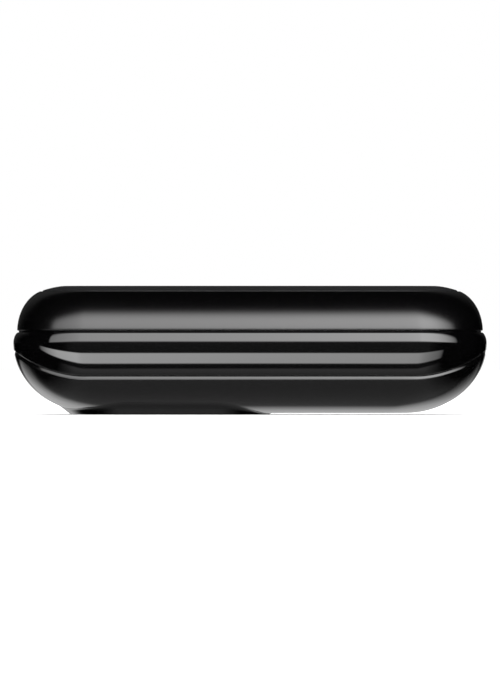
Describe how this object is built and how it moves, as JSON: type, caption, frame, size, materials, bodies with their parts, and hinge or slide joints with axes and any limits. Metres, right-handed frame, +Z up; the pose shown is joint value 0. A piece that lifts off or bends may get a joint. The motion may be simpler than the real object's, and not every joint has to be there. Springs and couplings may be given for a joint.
{
  "type": "logic analyzer",
  "caption": "Pocket logic analyzer: a rounded black slab in moulded layers, with a signal header in one end, a small USB socket in the other and a start button on top.",
  "frame": {"origin": "middle of the underside, on the surface the instrument stands on", "axes": "+X along the length towards the end with the USB socket, +Y across the width, +Z up through the button"},
  "size_m": [0.0999, 0.072, 0.0271],
  "materials": {
    "panel": "semi-gloss black overlay",
    "upper_shell": "satin black moulding",
    "band": "high-gloss black moulding",
    "lower_shell": "semi-gloss black moulding",
    "foot": "semi-matt black pad",
    "port_plastic": "matt black insulator",
    "steel": "plated steel",
    "brass": "knurled brass",
    "board": "green solder mask",
    "chip": "black epoxy",
    "ceramic": "pale ceramic",
    "ferrite": "dark ferrite",
    "can": "aluminium can",
    "light_pipe": "frosted clear plastic",
    "button": "gloss black"
  },
  "bodies": {
    "housing": {"top_panel": "panel", "upper_shell": "upper_shell", "middle_band": "band", "lower_shell": "lower_shell", "foot_plate": "foot", "header_bezel": "port_plastic", "usb_bezel": "port_plastic", "signal_header": "port_plastic", "usb_socket_shell": "steel", "usb_insulator": "port_plastic", "housing_screw_1": "steel", "housing_screw_2": "steel", "housing_screw_3": "steel", "housing_screw_4": "steel", "threaded_insert_1": "brass", "threaded_insert_2": "brass", "threaded_insert_3": "brass", "threaded_insert_4": "brass", "board_screw_1": "steel", "board_screw_2": "steel", "main_board": "board", "fpga_chip": "chip", "memory_chip_1": "chip", "memory_chip_2": "chip", "input_buffer_1": "chip", "input_buffer_2": "chip", "input_buffer_3": "chip", "input_buffer_4": "chip", "usb_controller_chip": "chip", "resistor_array_1": "ceramic", "resistor_array_2": "ceramic", "resistor_array_3": "ceramic", "resistor_array_4": "ceramic", "crystal_can": "steel", "power_inductor": "ferrite", "capacitor_1": "can", "capacitor_2": "can", "capacitor_3": "can", "status_led_1": "ceramic", "status_led_2": "ceramic", "status_led_3": "ceramic", "light_pipe_1": "light_pipe", "light_pipe_2": "light_pipe", "light_pipe_3": "light_pipe", "switch_body": "port_plastic"},
    "start_button": {"start_button": "button", "switch_plunger": "port_plastic"}
  },
  "joints": [
    {"name": "start_button_press", "type": "slide", "parent": "housing", "child": "start_button", "axis": [0, 0, -1], "range_m": [0, 0.0005], "stiffness_N_per_m": 3000, "springref_m": -0.0002}
  ]
}
